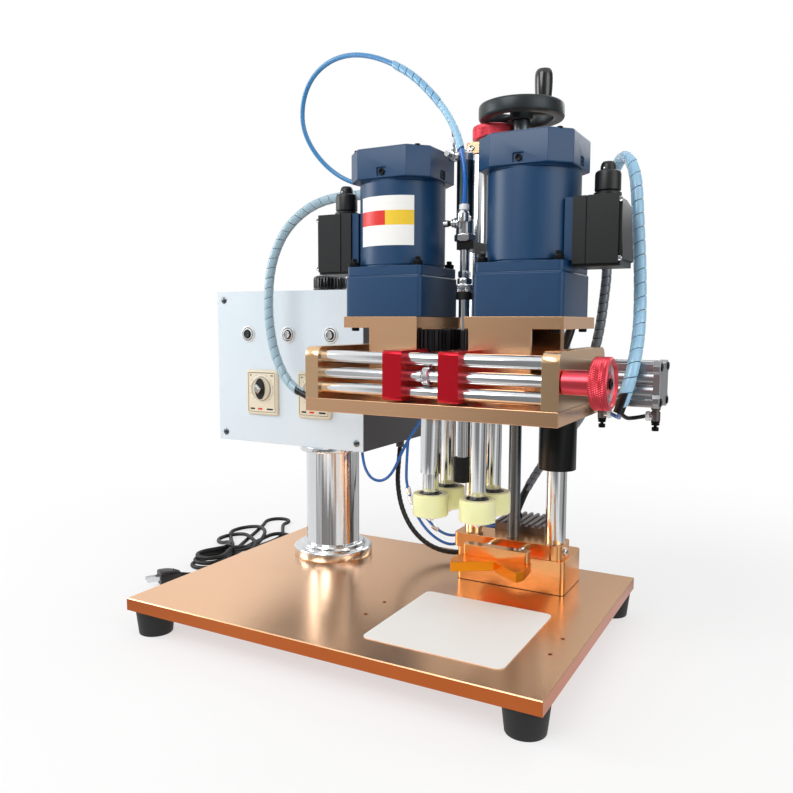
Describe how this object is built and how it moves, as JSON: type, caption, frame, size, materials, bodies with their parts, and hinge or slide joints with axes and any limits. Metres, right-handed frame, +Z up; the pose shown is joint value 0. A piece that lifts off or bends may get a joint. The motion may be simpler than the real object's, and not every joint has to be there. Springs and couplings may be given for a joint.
{
  "type": "screw capping machine",
  "caption": "Bench machine that screws caps on bottles with spinning rubber wheels on twin gear motors; its carriage is raised by a handwheel.",
  "frame": {"origin": "where the capping axis meets the top face of the base plate, centre of the fixture holes", "axes": "+Z up along the capping axis, +X to the machine's right seen from the front, +Y to the back"},
  "size_m": [0.783, 0.5276, 0.6948],
  "materials": {
    "copper_anodised": "brushed and anodised copper colour",
    "tan_anodised": "satin anodised",
    "red_anodised": "glossy anodised",
    "orange_anodised": "anodised",
    "polished_steel": "polished",
    "screw_steel": "rolled thread",
    "gear_nylon": "moulded",
    "wheel_urethane": "cast, translucent",
    "black_rubber": "moulded",
    "motor_blue": "painted dark blue",
    "black_plastic": "moulded",
    "black_anodised": "anodised",
    "black_casting": "painted black",
    "silver_aluminium": "extruded",
    "box_grey": "powder coated",
    "panel_white": "satin, unprinted",
    "button_metal": "turned",
    "timer_cream": "moulded",
    "dial_grey": "moulded",
    "mat_white": "sheet",
    "hose_blue": "spiral wrapped",
    "hose_black": "spiral wrapped",
    "lead_black": "sheathed"
  },
  "bodies": {
    "frame": {"base_plate": "copper_anodised", "feet": "black_rubber", "work_mat": "mat_white", "column": "polished_steel", "control_box": "box_grey", "control_panel": "panel_white", "timer_relays": "timer_cream", "air_unit": "black_plastic", "lower_block": "copper_anodised", "upper_block": "copper_anodised", "guide_rods": "polished_steel", "top_plate": "copper_anodised", "clamp_cylinder": "black_anodised", "clamp_hose": "hose_black", "mains_cord": "lead_black", "mains_hank": "lead_black", "mains_plug": "black_plastic"},
    "screw": {"lead_screw": "screw_steel", "handwheel": "black_casting"},
    "handle": {"wheel_handle": "black_plastic"},
    "lock": {"lock_knob": "red_anodised"},
    "carriage": {"carriage_plate": "copper_anodised", "end_plates": "tan_anodised", "slide_rails": "polished_steel", "guide_sleeves": "black_anodised", "opening_cylinder": "silver_aluminium", "presser_cylinder": "black_anodised", "presser_hose": "hose_blue", "trunk_hose": "hose_blue", "drop_hose": "hose_black"},
    "adjuster": {"adjusting_screw": "screw_steel", "adjusting_knob": "red_anodised"},
    "left_unit": {"motor_plate_left": "copper_anodised", "gear_motor_left": "motor_blue", "terminal_box_left": "black_plastic", "slide_block_left": "red_anodised"},
    "right_unit": {"motor_plate_right": "copper_anodised", "gear_motor_right": "motor_blue", "terminal_box_right": "black_plastic", "slide_block_right": "red_anodised"},
    "presser": {"presser_rod": "polished_steel", "presser_pad": "black_rubber"},
    "clamp_head": {"clamp_bar": "copper_anodised", "vee_plate": "orange_anodised"},
    "regulator": {"regulator_knob": "black_plastic"},
    "pinion_left": {"pinion_left": "gear_nylon"},
    "gripper_left_front": {"spindle_left_front": "polished_steel", "gripper_wheel_left_front": "wheel_urethane"},
    "gripper_left_rear": {"spindle_left_rear": "polished_steel", "gripper_wheel_left_rear": "wheel_urethane"},
    "pinion_right": {"pinion_right": "gear_nylon"},
    "gripper_right_front": {"spindle_right_front": "polished_steel", "gripper_wheel_right_front": "wheel_urethane"},
    "gripper_right_rear": {"spindle_right_rear": "polished_steel", "gripper_wheel_right_rear": "wheel_urethane"},
    "button_start": {"push_button_start": "button_metal"},
    "button_stop": {"push_button_stop": "button_metal"},
    "button_lamp": {"push_button_lamp": "button_metal"},
    "dial_left": {"timer_dial_left": "dial_grey"},
    "dial_right": {"timer_dial_right": "dial_grey"}
  },
  "joints": [
    {"name": "handwheel_turn", "type": "hinge", "parent": "frame", "child": "screw", "pos_m": [0, 0.165, 0.58], "axis": [0, 0, 1], "range_deg": [-13510, 7660]},
    {"name": "handle_spin", "type": "hinge", "parent": "screw", "child": "handle", "pos_m": [0.014, 0.206, 0.6], "axis": [0, 0, 1], "continuous": true},
    {"name": "carriage_lift", "type": "slide", "parent": "frame", "child": "carriage", "axis": [0, 0, 1], "range_m": [-0.085, 0.15], "deforming": ["trunk_hose", "drop_hose"]},
    {"name": "lock_turn", "type": "hinge", "parent": "frame", "child": "lock", "pos_m": [-0.038, 0.171, 0.56], "axis": [0, 0, 1], "range_deg": [-180, 180]},
    {"name": "adjusting_knob_turn", "type": "hinge", "parent": "carriage", "child": "adjuster", "pos_m": [0.135, -0.088, 0.282], "axis": [1, 0, 0], "range_deg": [-725, 2405]},
    {"name": "left_unit_slide", "type": "slide", "parent": "carriage", "child": "left_unit", "axis": [1, 0, 0], "range_m": [-0.02, 0.006]},
    {"name": "right_unit_slide", "type": "slide", "parent": "carriage", "child": "right_unit", "axis": [1, 0, 0], "range_m": [-0.006, 0.016]},
    {"name": "presser_stroke", "type": "slide", "parent": "carriage", "child": "presser", "axis": [0, 0, 1], "range_m": [-0.025, 0.012]},
    {"name": "clamp_stroke", "type": "slide", "parent": "frame", "child": "clamp_head", "axis": [0, -1, 0], "range_m": [-0.018, 0.025]},
    {"name": "regulator_turn", "type": "hinge", "parent": "frame", "child": "regulator", "pos_m": [-0.284, 0.17, 0.39], "axis": [0, 0, 1], "range_deg": [-360, 360]},
    {"name": "pinion_left_spin", "type": "hinge", "parent": "left_unit", "child": "pinion_left", "pos_m": [-0.05592, 0, 0.315], "axis": [0, 0, 1], "continuous": true},
    {"name": "gripper_left_front_spin", "type": "hinge", "parent": "left_unit", "child": "gripper_left_front", "pos_m": [-0.0272, -0.0217, 0.2], "axis": [0, 0, 1], "continuous": true},
    {"name": "gripper_left_rear_spin", "type": "hinge", "parent": "left_unit", "child": "gripper_left_rear", "pos_m": [-0.0272, 0.0217, 0.2], "axis": [0, 0, 1], "continuous": true},
    {"name": "pinion_right_spin", "type": "hinge", "parent": "right_unit", "child": "pinion_right", "pos_m": [0.05592, 0, 0.315], "axis": [0, 0, 1], "continuous": true},
    {"name": "gripper_right_front_spin", "type": "hinge", "parent": "right_unit", "child": "gripper_right_front", "pos_m": [0.0272, -0.0217, 0.2], "axis": [0, 0, 1], "continuous": true},
    {"name": "gripper_right_rear_spin", "type": "hinge", "parent": "right_unit", "child": "gripper_right_rear", "pos_m": [0.0272, 0.0217, 0.2], "axis": [0, 0, 1], "continuous": true},
    {"name": "button_start_press", "type": "slide", "parent": "frame", "child": "button_start", "axis": [0, 1, 0], "range_m": [0, 0.003], "stiffness_N_per_m": 300, "springref_m": -0.002},
    {"name": "button_stop_press", "type": "slide", "parent": "frame", "child": "button_stop", "axis": [0, 1, 0], "range_m": [0, 0.003], "stiffness_N_per_m": 300, "springref_m": -0.002},
    {"name": "button_lamp_press", "type": "slide", "parent": "frame", "child": "button_lamp", "axis": [0, 1, 0], "range_m": [0, 0.003], "stiffness_N_per_m": 300, "springref_m": -0.002},
    {"name": "timer_dial_left_turn", "type": "hinge", "parent": "frame", "child": "dial_left", "pos_m": [-0.3665, 0.11, 0.238], "axis": [0, 1, 0], "range_deg": [0, 300]},
    {"name": "timer_dial_right_turn", "type": "hinge", "parent": "frame", "child": "dial_right", "pos_m": [-0.276, 0.11, 0.238], "axis": [0, 1, 0], "range_deg": [0, 300]}
  ],
  "couplings": [
    {"joint": "handwheel_turn", "follows": "carriage_lift", "rad_per_m": -1570.8},
    {"joint": "adjusting_knob_turn", "follows": "left_unit_slide", "rad_per_m": -2094.4},
    {"joint": "gripper_left_front_spin", "follows": "pinion_left_spin", "ratio": -1},
    {"joint": "gripper_left_rear_spin", "follows": "pinion_left_spin", "ratio": -1},
    {"joint": "gripper_right_front_spin", "follows": "pinion_right_spin", "ratio": -1},
    {"joint": "gripper_right_rear_spin", "follows": "pinion_right_spin", "ratio": -1}
  ]
}
